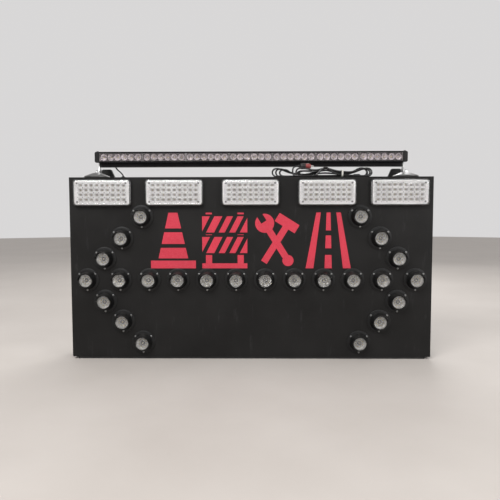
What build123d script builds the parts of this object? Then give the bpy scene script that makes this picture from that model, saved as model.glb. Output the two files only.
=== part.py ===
from build123d import *
import math
import os

# Vehicle-mounted arrow board: a flat sheet-steel cabinet with 24 LED lamps, five strobes and
# four road symbols on its face, an LED light bar that tilts on top, and a stowed supply cable.
# Millimetres. X to the right, the face looks along -Y, Z up, the feet stand on z = 0.

# ---- Cabinet ----
cabinet_width = 1300.0
cabinet_height = 650.0
cabinet_depth = 125.0
foot_height = 8.0
foot_width = 20.0
foot_inset = 19.0
foot_setback = 3.0
sheet = 2.0
cover_sheet = 1.5
flange_width = 20.0
cover_inset = 3.0
cover_screws_long = 8
cover_screws_short = 4

# ---- Lamps ----
hood_reach = 40.0
row_height = 289.0
shaft_lamps = 10
shaft_pitch = 104.6
tip_x = 590.0
head_steps = [(63.5, 77.5), (127.6, 150.4), (199.6, 227.3)]
lamp_flange_radius = 42.0
lamp_flange = 3.0
lamp_foot_radius = 32.0
lamp_rim_radius = 27.0
lamp_front = 29.0
lamp_floor = 10.0
lens_radius = 22.8
lens_wall = 1.5
lens_skirt = 12.0
lamp_board = 1.6
lamp_screw_circle = 36.0
lamp_screw_angles = (37, 143, 270)
lamp_wire_radius = 5.0

# ---- Strobes ----
strobe_width = 204.0
strobe_height = 92.0
strobe_depth = 16.5
strobe_base = 3.0
strobe_base_lip = 1.5
strobe_corner = 11.0
strobe_wall = 2.5
strobe_pitch = (272.0, 529.5)
strobe_top_gap = 9.5
strobe_screw_in = (15.0, 13.0)
strobe_rows = 4
strobe_columns = 9
strobe_post_radius = 5.0

# ---- Road symbols ----
symbol_width = 162.0
symbol_height = 200.0
symbol_pitch = 185.5
symbol_z = 431.0
symbol_sheet = 1.2
stroke = 28.0

# ---- Light bar ----
bar_half = 567.5
bar_frame_half = 551.0
bar_body_half = 545.5
bar_face_back = 38.0
bar_pivot_back = 62.0
bar_pivot_high = 71.0
frame_low = -15.6
frame_high = 23.5
frame_deep = 16.0
wing_deep = 9.0
bezel = 5.0
bar_wall = 3.0
fin_reach = 19.0
fin_count = 7
fin_pitch = 5.0
fin_sheet = 2.0
rail_half = 12.0
rail_drop = 30.2
slot_mouth = 8.5
slot_inner = 15.0
slot_lip = 2.5
slot_deep = 9.2
end_plate = 2.5
groups = 7
group_leds = 6
led_pitch = 25.0
group_pitch = 157.4
group_gap = 2.0

# ---- Light bar stands ----
leg_gap = 0.3
leg_sheet = 4.0
leg_half = 7.5
foot_half = 16.0
foot_reach = 30.0
stud_out = 9.2
pivot_radius = 4.0
pivot_running = 0.06
pad_thick = 3.0
pad_radius = 45.0
magnet_radius = 46.0
magnet_edge = 4.0
magnet_high = 11.0
magnet_top_radius = 17.0
stud_radius = 4.0
nut_flats = 13.0
nut_high = 6.5
washer_thick = 1.5
block_low_x = 512.0
block_top_x = 528.0
block_out_x = 563.0
block_high = 37.0
block_deep = 13.5

# ---- Rear rails ----
rail_depth = 25.0
rail_x = 400.0
rail_web = 40.0
rail_foot = 18.0
rail_sheet = 2.5
rail_length = 560.0
mount_spacing = 400.0
mount_hole_radius = 5.5
backing_thick = 4.0

# ---- Electrics ----
case_size = (180.0, 65.0, 48.0)
case_wall = 3.0
lid_thick = 3.0
loom_radius = 5.0

# ---- Cords ----
cable_diameter = 6.0
lead_diameter = 5.0
hank_x = (76.0, 438.0)
hank_y = (-52.0, 4.0)
hank_high = 36.0
hank_valley = 23.0
hank_waist = 25.0
hank_waist_x = 328.0
tie_width = 6.0
tie_inset = 3.0
tie_thick = 1.8
gland_x = 395.0
gland_y = 46.0
gland_axis_high = 8.0
gland_nozzle = 22.0
lead_gland_x = -470.0
lead_exit_x = -500.0
plug_y = -28.0
plug_high = 39.5
plug_tail_x = 170.0
plug_body_x = 178.0
plug_ring_x = 198.0
plug_nose_x = 217.0
plug_radius = 11.5
ring_radius = 9.5
tip_radius = 3.2
tip_out = 10.0
tip_travel = 4.0

# ---- Fasteners and wire holes ----
screw_radius = 2.0
screw_grip = 6.0
bolt_radius = 3.0
bolt_head_half = 5.0
bolt_head_high = 4.0
lamp_head_radius = 3.6
lamp_head_high = 2.2
strobe_head_radius = 3.5
strobe_head_high = 2.0
strobe_head_sunk = 0.4
cover_head_radius = 4.0
cover_head_high = 2.4
lamp_wire_hole = 14.0
strobe_wire_hole = 10.0
strobe_base_hole = 6.0
supply_hole = 6.0
lead_hole = 4.0

# ---- Clearances ----
slip = 0.2
thread = 0.02
tapped = screw_radius + thread
drilled = screw_radius + slip

# ---- Places worked out from the sizes ----
front_y = hood_reach - (hood_reach + cabinet_depth + rail_depth) / 2
back_y = front_y + cabinet_depth
rail_back_y = back_y + rail_depth
base_z = foot_height
top_z = base_z + cabinet_height
half_width = cabinet_width / 2
inner_y = front_y + sheet
cover_y = back_y - cover_sheet
flange_y = cover_y - sheet
bar_face_y = front_y + bar_face_back
pivot_y = front_y + bar_pivot_back
bar_pivot_z = top_z + bar_pivot_high
strobe_z = top_z - strobe_top_gap - strobe_height / 2

made = []


def block(x0, x1, y0, y1, z0, z1):
    """A box between six faces."""
    size = Box(abs(x1 - x0), abs(y1 - y0), abs(z1 - z0))
    return Pos((x0 + x1) / 2, (y0 + y1) / 2, (z0 + z1) / 2) * size


def rod_x(radius, x0, x1, y, z):
    return Pos((x0 + x1) / 2, y, z) * Rot(0, 90, 0) * Cylinder(radius, abs(x1 - x0))


def rod_y(radius, x, y0, y1, z):
    return Pos(x, (y0 + y1) / 2, z) * Rot(90, 0, 0) * Cylinder(radius, abs(y1 - y0))


def rod_z(radius, x, y, z0, z1):
    return Pos(x, y, (z0 + z1) / 2) * Cylinder(radius, abs(z1 - z0))


def turned_y(*outline):
    """A turned piece about the Y axis from (radius, y) corners."""
    return revolve(make_face(Polyline(*outline, close=True)), Axis.Y)


def turned_z(*outline):
    """A turned piece about the Z axis from (radius, z) corners."""
    return revolve(Plane.XZ * make_face(Polyline(*outline, close=True)), Axis.Z)


def turned_x(*outline):
    """A turned piece about the X axis from (x, radius) corners."""
    return revolve(make_face(Polyline(*outline, close=True)), Axis.X)


def plate_xz(face, y0, y1):
    """Stands a flat outline drawn in X and Z between two planes across Y."""
    upright = Plane(origin=(0, y1, 0), x_dir=(1, 0, 0), z_dir=(0, -1, 0)) * face
    return extrude(upright, amount=y1 - y0)


def bar_section(x0, x1, *rectangles):
    """Extrudes rectangles (y0, y1, z0, z1) along X and joins them."""
    return sum((block(x0, x1, *r) for r in rectangles[1:]), block(x0, x1, *rectangles[0]))


def both_sides(piece):
    return [piece, mirror(piece, about=Plane.YZ)]


def cut_all(solid, tools):
    return solid - list(tools) if tools else solid


def save(name, *pieces):
    """Writes one node: all its solids in one file."""
    solids = [s for piece in pieces for s in piece.solids()]
    shape = solids[0] if len(solids) == 1 else Compound(solids)
    export_step(shape, f"parts/{name}.step")
    made.append(name)
    print(f"{name}: {len(solids)} solids, {sum(s.volume for s in solids):.0f} mm3")


def cord(name, route, diameter):
    """A round tube along straight runs and the largest tangent arcs that they allow."""
    points = [Vector(p) for p in route]
    runs = [b - a for a, b in zip(points, points[1:])]
    radii = []
    for a, b in zip(runs, runs[1:]):
        half_turn = math.radians(a.get_angle(b) / 2)
        radii.append(0.45 * min(a.length, b.length) / math.tan(half_turn))
    path = FilletPolyline(*points, radius=radii)
    start = Plane(origin=path @ 0, z_dir=path % 0)
    tube = sweep(start * Circle(diameter / 2), path=path)
    expected = math.pi * diameter**2 / 4 * path.length
    shown = ", ".join(f"{r:.0f}" for r in radii)
    print(f"{name}: arcs {shown} mm, length {path.length:.0f} mm")
    print(f"{name}: volume {tube.volume:.0f}, section times length {expected:.0f} mm3")
    return tube


def lamp_places():
    """Lamp centres (x, z) of the left head, the shaft and the right head."""
    shaft = [((i - (shaft_lamps - 1) / 2) * shaft_pitch, row_height) for i in range(shaft_lamps)]
    right = [(tip_x, row_height)]
    for back, rise in head_steps:
        right += [(tip_x - back, row_height + rise), (tip_x - back, row_height - rise)]
    left = [(-x, z) for x, z in right]
    return left, shaft, right


def screw_places(x, z):
    """Three flange screws of the lamp at (x, z)."""
    return [
        (
            x + lamp_screw_circle * math.cos(math.radians(a)),
            z + lamp_screw_circle * math.sin(math.radians(a)),
        )
        for a in lamp_screw_angles
    ]


def strobe_places():
    return [-strobe_pitch[1], -strobe_pitch[0], 0.0, strobe_pitch[0], strobe_pitch[1]]


def strobe_screw_places(x):
    dx = strobe_width / 2 - strobe_screw_in[0]
    dz = strobe_height / 2 - strobe_screw_in[1]
    return [(x + i * dx, strobe_z + j * dz) for i in (-1, 1) for j in (-1, 1)]


def lamp_housing():
    """Flange, tapered barrel with a bore for the lens, and a hood over its upper side."""
    bore = lens_radius + slip
    body = turned_y(
        (0, -lamp_floor),
        (bore, -lamp_floor),
        (bore, -lamp_front),
        (lamp_rim_radius, -lamp_front),
        (lamp_foot_radius, -lamp_flange),
        (lamp_flange_radius - 1, -lamp_flange),
        (lamp_flange_radius, -lamp_flange + 1),
        (lamp_flange_radius, 0),
        (bore, 0),
        (bore, -lamp_flange),
        (bore - 4, 1 - lamp_floor + lamp_flange),
        (0, 1 - lamp_floor + lamp_flange),
    )
    hood = turned_y(
        (lamp_rim_radius - 2.5, -lamp_front + 4),
        (lamp_rim_radius - 1.8, -hood_reach),
        (lamp_rim_radius, -hood_reach),
        (lamp_rim_radius + 0.8, -lamp_front + 4),
    )
    # The hood's rim slopes back from its tip to the barrel, 10 degrees below the centre.
    side = 2 * lamp_rim_radius
    slope = make_face(
        Polyline(
            (-lamp_front + 2, -side),
            (-lamp_front + 2, -6),
            (-hood_reach - 1, 12),
            (-hood_reach - 1, -side),
            close=True,
        )
    )
    away = extrude(Plane.YZ * slope, amount=side, both=True)
    inside = rod_y(bore, 0, -lamp_floor, -lamp_front, 0)
    hood = hood - away - inside
    holes = [rod_y(drilled, x, -lamp_flange - 1, 1, z) for x, z in screw_places(0, 0)]
    holes.append(rod_y(lamp_wire_radius, 0, -lamp_floor - 1, 0, 0))
    return cut_all(body + hood, holes)


def lamp_lens():
    """Clear cup whose front closes the barrel."""
    back = -lamp_front + lens_skirt
    return turned_y(
        (0, -lamp_front + 2.5),
        (lens_radius - lens_wall, -lamp_front + 2.5),
        (lens_radius - lens_wall, back),
        (lens_radius, back),
        (lens_radius, -lamp_front + 0.6),
        (lens_radius - 0.8, -lamp_front - 0.4),
        (0, -lamp_front - 1.2),
    )


def lamp_led_board():
    """Round board with one LED in the middle and eight around it."""
    face = -lamp_floor - lamp_board
    board = rod_y(lens_radius - slip, 0, face, -lamp_floor, 0)
    leds = [rod_y(2.5, 0, face - 6, face, 0)]
    for i in range(8):
        a = math.radians(45 * i + 22.5)
        leds.append(rod_y(2.5, 13 * math.cos(a), face - 6, face, 13 * math.sin(a)))
    return board + leds


def make_lamps():
    housing, lens, board = lamp_housing(), lamp_lens(), lamp_led_board()
    groups_of_lamps = dict(zip(("left_head", "shaft", "right_head"), lamp_places()))
    boards, screws = [], []
    for name, places in groups_of_lamps.items():
        spots = [Pos(x, front_y, z) for x, z in places]
        save(f"{name}_lamp_housings", *[spot * housing for spot in spots])
        save(f"{name}_lamp_lenses", *[spot * lens for spot in spots])
        boards += [spot * board for spot in spots]
        for x, z in places:
            for sx, sz in screw_places(x, z):
                seat = front_y - lamp_flange
                head = rod_y(lamp_head_radius, sx, seat - lamp_head_high, seat, sz)
                screws.append(head + rod_y(screw_radius, sx, seat, front_y + screw_grip, sz))
    save("lamp_led_boards", *boards)
    save("lamp_screws", *screws)


def make_strobes():
    bases, boards, screws = [], [], []
    lens_back = front_y - strobe_base
    lens_front = lens_back - strobe_depth
    inner = (strobe_width - 2 * strobe_wall, strobe_height - 2 * strobe_wall)
    for number, x in enumerate(strobe_places(), start=1):
        spot = Pos(x, strobe_z, 0)
        base_face = spot * RectangleRounded(
            strobe_width + 2 * strobe_base_lip,
            strobe_height + 2 * strobe_base_lip,
            strobe_corner + strobe_base_lip,
        )
        outer_face = spot * RectangleRounded(strobe_width, strobe_height, strobe_corner)
        inner_face = spot * RectangleRounded(*inner, strobe_corner - strobe_wall)
        places = strobe_screw_places(x)
        shell = plate_xz(outer_face, lens_front, lens_back)
        shell = fillet(shell.faces().sort_by(Axis.Y)[0].edges(), 4)
        shell = shell - plate_xz(inner_face, lens_front + strobe_wall, lens_back)
        posts = [rod_y(strobe_post_radius, a, lens_front + 1, lens_back, b) for a, b in places]
        shell = shell + posts
        seat = lens_front + strobe_head_sunk + strobe_head_high
        sink = strobe_head_radius + 0.5
        shell = shell - [rod_y(drilled, a, lens_front, lens_back, b) for a, b in places]
        shell = shell - [rod_y(sink, a, lens_front, seat, b) for a, b in places]
        save(f"strobe_lens_{number}", shell)
        base = plate_xz(base_face, lens_back, front_y)
        wires = [rod_y(drilled, a, lens_back, front_y, b) for a, b in places]
        wires.append(rod_y(strobe_base_hole, x, lens_back, front_y, strobe_z))
        bases.append(cut_all(base, wires))
        board_half = strobe_width / 2 - strobe_screw_in[0] - strobe_post_radius - 1
        board_rise = inner[1] / 2 - 3
        face = lens_back - 1.6
        board = block(
            x - board_half, x + board_half, face, lens_back, strobe_z - board_rise, strobe_z + board_rise
        )
        leds = []
        for i in range(strobe_columns):
            for j in range(strobe_rows):
                a = x + (i - (strobe_columns - 1) / 2) * 2 * board_half / strobe_columns
                b = strobe_z + (j - (strobe_rows - 1) / 2) * 2 * board_rise / strobe_rows
                leds.append(block(a - 2.5, a + 2.5, face - 1.4, face, b - 2.5, b + 2.5))
        boards.append(board + leds)
        for a, b in places:
            head = rod_y(strobe_head_radius, a, seat - strobe_head_high, seat, b)
            screws.append(head + rod_y(screw_radius, a, seat, front_y + screw_grip, b))
    save("strobe_bases", *bases)
    save("strobe_led_boards", *boards)
    save("strobe_screws", *screws)


def make_front_panel():
    """Flat steel face with wire and screw holes for every lamp and strobe."""
    panel = block(-half_width, half_width, front_y, inner_y, base_z, top_z)
    holes = []
    for places in lamp_places():
        for x, z in places:
            holes.append(rod_y(lamp_wire_hole, x, front_y, inner_y, z))
            holes += [rod_y(tapped, a, front_y, inner_y, b) for a, b in screw_places(x, z)]
    for x in strobe_places():
        holes.append(rod_y(strobe_wire_hole, x, front_y, inner_y, strobe_z))
        holes += [rod_y(tapped, a, front_y, inner_y, b) for a, b in strobe_screw_places(x)]
    save("front_panel", panel - holes)


def cover_screw_places():
    low, high = base_z + sheet + flange_width / 2, top_z - sheet - flange_width / 2
    side = half_width - sheet - flange_width / 2
    places = []
    for i in range(cover_screws_long):
        x = (2 * i / (cover_screws_long - 1) - 1) * (side - 60)
        places += [(x, low), (x, high)]
    for i in range(cover_screws_short):
        z = low + (i + 1) * (high - low) / (cover_screws_short + 1)
        places += [(-side, z), (side, z)]
    return places


def rail_bolt_places():
    foot_x = rail_web / 2 + rail_foot / 2
    middle = base_z + cabinet_height / 2
    rise = rail_length / 2 - 30
    return [
        (side * rail_x + d * foot_x, middle + k * rise)
        for side in (-1, 1)
        for d in (-1, 1)
        for k in (-1, 0, 1)
    ]


def make_cabinet():
    screw_holes = [rod_y(tapped, x, flange_y, cover_y, z) for x, z in cover_screw_places()]
    glands = [
        rod_z(supply_hole, gland_x, gland_y, top_z - sheet, top_z),
        rod_z(lead_hole, lead_gland_x, pivot_y, top_z - sheet, top_z),
    ]
    top = block(-half_width, half_width, inner_y, cover_y, top_z - sheet, top_z)
    top = top + block(
        -half_width, half_width, flange_y, cover_y, top_z - sheet - flange_width, top_z
    )
    save("top_wall", top - screw_holes - glands)
    bottom = block(-half_width, half_width, inner_y, cover_y, base_z, base_z + sheet)
    bottom = bottom + block(
        -half_width, half_width, flange_y, cover_y, base_z, base_z + sheet + flange_width
    )
    save("bottom_wall", bottom - screw_holes)
    for name, side in (("left", -1), ("right", 1)):
        out, skin = side * half_width, side * (half_width - sheet)
        wall = block(out, skin, inner_y, cover_y, base_z + sheet, top_z - sheet)
        low, high = base_z + sheet + flange_width, top_z - sheet - flange_width
        wall = wall - block(out, skin, flange_y, cover_y, base_z + sheet, low)
        wall = wall - block(out, skin, flange_y, cover_y, high, top_z - sheet)
        lip = block(out, side * (half_width - sheet - flange_width), flange_y, cover_y, low, high)
        save(f"side_wall_{name}", wall + lip - screw_holes)
    reach = half_width - cover_inset
    cover = block(-reach, reach, cover_y, back_y, base_z + cover_inset, top_z - cover_inset)
    holes = [rod_y(drilled, x, cover_y, back_y, z) for x, z in cover_screw_places()]
    holes += [rod_y(bolt_radius + slip, x, cover_y, back_y, z) for x, z in rail_bolt_places()]
    save("rear_cover", cover - holes)
    screws = []
    for x, z in cover_screw_places():
        head = rod_y(cover_head_radius, x, back_y, back_y + cover_head_high, z)
        screws.append(head + rod_y(screw_radius, x, flange_y - 4, back_y, z))
    save("rear_cover_screws", *screws)
    reach = half_width - foot_inset
    near, far = front_y + foot_setback, back_y - foot_setback
    front = block(-reach, reach, near, near + foot_width, 0, foot_height)
    rear = block(-reach, reach, far - foot_width, far, 0, foot_height)
    save("foot_strips", front, rear)


def make_rails():
    """Two hat-section rails on the back, for bolting the board to a vehicle."""
    low = base_z + (cabinet_height - rail_length) / 2
    high = low + rail_length
    middle = (low + high) / 2
    web, foot = rail_web / 2, rail_web / 2 + rail_foot
    bars = []
    for name, side in (("left", -1), ("right", 1)):
        x = side * rail_x
        rail = bar_section(
            x - web,
            x + web,
            (rail_back_y - rail_sheet, rail_back_y, low, high),
        )
        for d in (-1, 1):
            rail = rail + block(x + d * web, x + d * (web - rail_sheet), back_y, rail_back_y, low, high)
            skin = x + d * (web - rail_sheet)
            rail = rail + block(x + d * foot, skin, back_y, back_y + rail_sheet, low, high)
        passed = bolt_radius + slip
        holes = [rod_y(passed, a, back_y, back_y + rail_sheet, b) for a, b in rail_bolt_places()]
        for k in (-1, 1):
            z = middle + k * mount_spacing / 2
            holes.append(rod_y(mount_hole_radius, x, rail_back_y - rail_sheet, rail_back_y, z))
        save(f"mount_rail_{name}", rail - holes)
        bar = block(x - foot, x + foot, cover_y - backing_thick, cover_y, low, high)
        inside = cover_y - backing_thick
        taps = [rod_y(bolt_radius + thread, a, inside, cover_y, b) for a, b in rail_bolt_places()]
        bars.append(bar - taps)
    save("rail_backing_bars", *bars)
    bolts = []
    for x, z in rail_bolt_places():
        seat = back_y + rail_sheet
        hexagon = Pos(x, z) * RegularPolygon(bolt_head_half, 6, major_radius=False)
        head = plate_xz(hexagon, seat, seat + bolt_head_high)
        bolts.append(head + rod_y(bolt_radius, x, cover_y - backing_thick - 4, seat, z))
    save("rail_bolts", *bolts)


def symbol_place(index):
    return Pos((index - 1.5) * symbol_pitch, symbol_z)


def cut_bands(shape, bands):
    for low, high in bands:
        shape = shape - Pos(0, (low + high) / 2) * Rectangle(2 * symbol_width, high - low)
    return shape


def flat(*points):
    return make_face(Polyline(*points, close=True))


def cone_symbol():
    """Traffic cone with two reflective bands on a foot."""
    half, rise = symbol_width / 2, symbol_height / 2
    foot = Pos(0, -rise + stroke / 2) * Rectangle(symbol_width, stroke)
    low = -rise + stroke + 8
    body = flat((-0.66 * half, low), (0.66 * half, low), (0.2 * half, rise), (-0.2 * half, rise))
    return foot + cut_bands(body, [(-26, -12), (30, 44)])


def road_symbol():
    """Straight road running away, with a broken centre line."""
    half, rise = symbol_width / 2, symbol_height / 2
    edge = flat((half, -rise), (half - stroke, -rise), (0.34 * half, rise), (0.34 * half + 16, rise))
    dashes = flat((-13, -rise), (13, -rise), (7, rise), (-7, rise))
    return edge + mirror(edge, about=Plane.YZ) + cut_bands(dashes, [(-52, -28), (18, 36)])


def tools_symbol():
    """Crossed spanner and hammer."""
    half, rise = symbol_width / 2, symbol_height / 2
    bar = Rectangle(stroke * 0.85, 2 * rise - 30)
    spanner_head = Pos(0, rise - 20) * (Circle(34) - Pos(0, 22) * Rectangle(22, 44))
    spanner_tail = Pos(0, -rise + 22) * Circle(20)
    spanner = Pos(0, -6) * Rot(0, 0, 32) * (bar + spanner_head + spanner_tail)
    hammer_head = Pos(-4, rise - 22) * Rectangle(84, 34)
    hammer = Pos(0, -6) * Rot(0, 0, -32) * (bar + hammer_head)
    frame = Rectangle(symbol_width, symbol_height)
    return (spanner + hammer) & frame


def barrier_symbol():
    """Two-board barricade with slanting stripes on a pair of legs."""
    half, rise = symbol_width / 2, symbol_height / 2
    board = Rectangle(symbol_width, 58)
    gaps = [
        flat((x, -29), (x + 16, -29), (x + 46, 29), (x + 30, 29)) for x in (-half - 2, -38, 0, 38)
    ]
    board = board - gaps
    legs = [Pos(d * (half - 24), 0) * Rectangle(stroke * 0.8, symbol_height) for d in (-1, 1)]
    boards = [Pos(0, 58) * board, Pos(0, -16) * board]
    behind = Rectangle(symbol_width, 72)
    legs = [leg - Pos(0, 58) * behind - Pos(0, -16) * behind for leg in legs]
    stand = Pos(0, -rise + 9) * Rectangle(symbol_width, 18) + legs
    return boards + [stand]


def make_symbols():
    drawings = {
        "symbol_cone": cone_symbol(),
        "symbol_barrier": barrier_symbol(),
        "symbol_tools": tools_symbol(),
        "symbol_road": road_symbol(),
    }
    for index, (name, drawing) in enumerate(drawings.items()):
        shapes = drawing if isinstance(drawing, list) else [drawing]
        faces = [f for shape in shapes for f in shape.faces()]
        plates = [
            plate_xz(symbol_place(index) * f, front_y - symbol_sheet, front_y) for f in faces
        ]
        save(name, *plates)


def make_electrics():
    """Controller case on the cabinet floor and the loom behind the face."""
    length, depth, height = case_size
    y0, z0 = front_y + 35, base_z + sheet
    y1, z1 = y0 + depth, z0 + height
    half = length / 2
    case = block(-half, half, y0, y1, z0, z1)
    case = case - block(
        -half + case_wall, half - case_wall, y0 + case_wall, y1 - case_wall, z0 + case_wall, z1
    )
    posts = [
        rod_z(3, i * (half - 12), (y0 + y1) / 2 + j * (depth / 2 - 12), z0 + case_wall, z0 + 9)
        for i in (-1, 1)
        for j in (-1, 1)
    ]
    save("controller_case", case + posts)
    save("controller_lid", block(-half, half, y0, y1, z1, z1 + lid_thick))
    inset = case_wall + 2
    board = block(-half + inset, half - inset, y0 + inset, y1 - inset, z0 + 9, z0 + 10.6)
    chips = [block(x, x + 14, y0 + 20, y0 + 34, z0 + 10.6, z0 + 16) for x in range(-70, 60, 24)]
    save("controller_board", board + chips)
    y = inner_y + 15
    strobe_reach = strobe_pitch[1]
    trunk = rod_x(loom_radius, -tip_x + 20, tip_x - 20, y, row_height)
    trunk = trunk + rod_x(loom_radius, -strobe_reach, strobe_reach, y, strobe_z)
    trunk = trunk + rod_z(loom_radius, 0, y, z0 + 20, strobe_z)
    trunk = trunk + rod_y(loom_radius, 0, y, y0, z0 + 26)
    save("wiring_loom", trunk)


def make_light_bar():
    """Aluminium extrusion with a front pocket, cooling fins and a slotted rail."""
    z, y = bar_pivot_z, pivot_y
    low, high = z + frame_low, z + frame_high
    face, frame_back = bar_face_y, bar_face_y + frame_deep
    fin_back = y + fin_reach
    rail_front, rail_rear, rail_low = y - rail_half, y + rail_half, z - rail_drop
    pocket_back = frame_back - bar_wall
    frame = block(-bar_frame_half, bar_frame_half, face, frame_back, low, high)
    frame = frame - block(
        -bar_frame_half, bar_frame_half, face, pocket_back, low + bezel, high - bezel
    )
    sections = [(rail_front, rail_rear, rail_low, low + 2), (frame_back - 1, fin_back, low, low + 2.6)]
    for i in range(fin_count):
        fin_z = low + 4.6 + i * fin_pitch
        sections.append((frame_back - 1, fin_back, fin_z, fin_z + fin_sheet))
    rear = bar_section(-bar_body_half, bar_body_half, *sections)
    mouth, inner = slot_mouth / 2, slot_inner / 2
    slot = bar_section(
        -bar_body_half,
        bar_body_half,
        (y - mouth, y + mouth, rail_low, rail_low + slot_deep),
        (y - inner, y + inner, rail_low + slot_lip, rail_low + slot_deep),
    )
    wire = rod_z(lead_diameter / 2 + slip, lead_exit_x, y, rail_low + slot_deep, low + 3)
    save("bar_housing", frame + rear - slot - wire)

    lens_low, lens_high = low + bezel + slip, high - bezel - slip
    lens = block(-bar_frame_half + 1, bar_frame_half - 1, face + 0.6, face + 3, lens_low, lens_high)
    save("bar_lens", lens)
    board_face = pocket_back - 1.6
    board = block(-bar_frame_half + 4, bar_frame_half - 4, board_face, pocket_back, lens_low, lens_high)
    middle = (low + high) / 2
    leds, modules = [], []
    for g in range(groups):
        centre = (g - (groups - 1) / 2) * group_pitch
        half = (group_pitch - group_gap) / 2
        module = block(centre - half, centre + half, face + 3.2, board_face, lens_low, lens_high)
        cups = []
        for i in range(group_leds):
            x = centre + (i - (group_leds - 1) / 2) * led_pitch
            leds.append(block(x - 1.8, x + 1.8, board_face - 1, board_face, middle - 1.8, middle + 1.8))
            cup = turned_y(
                (0, face + 3.2), (11.6, face + 3.2), (9.0, face + 6.2), (3.2, board_face), (0, board_face)
            )
            cups.append(Pos(x, 0, middle) * cup)
        modules.append(module - cups)
    save("bar_led_board", board + leds)
    save("bar_reflectors", *modules)

    wing_back = face + wing_deep
    outer = bar_frame_half + end_plate
    wing = Pos((bar_frame_half + bar_half) / 2, middle) * Rectangle(bar_half - bar_frame_half, high - low)
    corners = wing.vertices().sort_by(Axis.X)[2:]
    cap = plate_xz(fillet(corners, 6), face, wing_back)
    cap = cap + block(bar_frame_half, outer, face, fin_back, low, high)
    cap = cap + block(bar_frame_half, outer, rail_front, rail_rear, rail_low, low)
    cap = cap + block(bar_body_half, bar_frame_half, frame_back, fin_back, low, high)
    cap = cap + block(bar_body_half, bar_frame_half, rail_front, rail_rear, rail_low, low)
    screw_x, screw_y = outer + 3.5, face + wing_deep / 2
    cap = cap - rod_x(pivot_radius + thread, bar_body_half + 1, outer, y, z)
    cap = cap - rod_z(1.5 + thread, screw_x, screw_y, high - 12, high)
    save("bar_end_cap_right", cap)
    save("bar_end_cap_left", mirror(cap, about=Plane.YZ))
    screw = rod_z(1.5, screw_x, screw_y, high - 10, high)
    head = turned_z((0, high), (4.4, high), (3.6, high + 2.4), (0, high + 2.8))
    screw = screw + Pos(screw_x, screw_y, 0) * head
    save("bar_cap_screws", *both_sides(screw))

    leg_out = outer + leg_gap + leg_sheet
    shank = rod_x(pivot_radius, bar_body_half + 2, leg_out + 0.1, y, z)
    washer = rod_x(leg_half, leg_out + 0.1, leg_out + 1.3, y, z)
    head = rod_x(6.5, leg_out + 1.3, leg_out + 5.3, y, z)
    head = fillet(head.edges().filter_by(GeomType.CIRCLE).sort_by(Axis.X)[-1:], 2)
    save("pivot_bolts", *both_sides(shank + washer + head))


def make_bar_stands():
    """Magnet bases with rubber pads, and the folded legs that carry the bar's pivots."""
    y = pivot_y
    inner_x = bar_frame_half + end_plate + leg_gap
    outer_x = inner_x + leg_sheet
    stud_x = outer_x + stud_out
    pad_top = top_z + pad_thick
    base_top = pad_top + magnet_high
    pad = rod_z(pad_radius, stud_x, y, top_z, pad_top)
    save("magnet_pads", *both_sides(pad))
    cup = turned_z(
        (0, pad_top),
        (magnet_radius, pad_top),
        (magnet_radius, pad_top + magnet_edge),
        (magnet_top_radius, base_top),
        (0, base_top),
    )
    foot_top = base_top + leg_sheet
    nut_base = foot_top + washer_thick
    stud_top = nut_base + nut_high + 3
    base = Pos(stud_x, y, 0) * cup + rod_z(stud_radius, stud_x, y, base_top - 2, stud_top)
    save("magnet_bases", *both_sides(base))
    shoulder = foot_top + 10
    neck = bar_pivot_z - rail_drop - 2
    outline = Polyline(
        (y - foot_half, base_top),
        (y + foot_half, base_top),
        (y + foot_half, shoulder),
        (y + leg_half, neck),
        (y + leg_half, bar_pivot_z),
        (y - leg_half, bar_pivot_z),
        (y - leg_half, neck),
        (y - foot_half, shoulder),
        close=True,
    )
    upright = Plane(origin=(inner_x, 0, 0), x_dir=(0, 1, 0), z_dir=(1, 0, 0))
    leg = extrude(upright * make_face(outline), leg_sheet)
    leg = leg + rod_x(leg_half, inner_x, outer_x, y, bar_pivot_z)
    leg = leg - rod_x(pivot_radius + pivot_running, inner_x, outer_x, y, bar_pivot_z)
    foot = block(inner_x, inner_x + foot_reach, y - foot_half, y + foot_half, base_top, foot_top)
    foot = fillet(foot.edges().filter_by(Axis.Z).sort_by(Axis.X)[2:], 5)
    bracket = leg + foot - rod_z(stud_radius + 0.5, stud_x, y, base_top, foot_top)
    save("bracket_right", bracket)
    save("bracket_left", mirror(bracket, about=Plane.YZ))
    nut_face = RegularPolygon(nut_flats / 2, 6, major_radius=False)
    nut = Pos(stud_x, y, nut_base) * extrude(nut_face, nut_high)
    washer = rod_z(nut_flats / 2 + 1, stud_x, y, foot_top, nut_base)
    hole = rod_z(stud_radius + thread, stud_x, y, foot_top, nut_base + nut_high)
    save("bracket_nuts", *both_sides(nut - hole), *both_sides(washer - hole))
    top = top_z + block_high
    side = Polyline(
        (block_low_x, top_z), (block_out_x, top_z), (block_out_x, top), (block_top_x, top), close=True
    )
    rest = plate_xz(make_face(side), back_y - 2 - block_deep, back_y - 2)
    rest = fillet(rest.edges().filter_by(Axis.Y).group_by(Axis.Z)[-1], 6)
    save("rest_blocks", *both_sides(rest))


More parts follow.
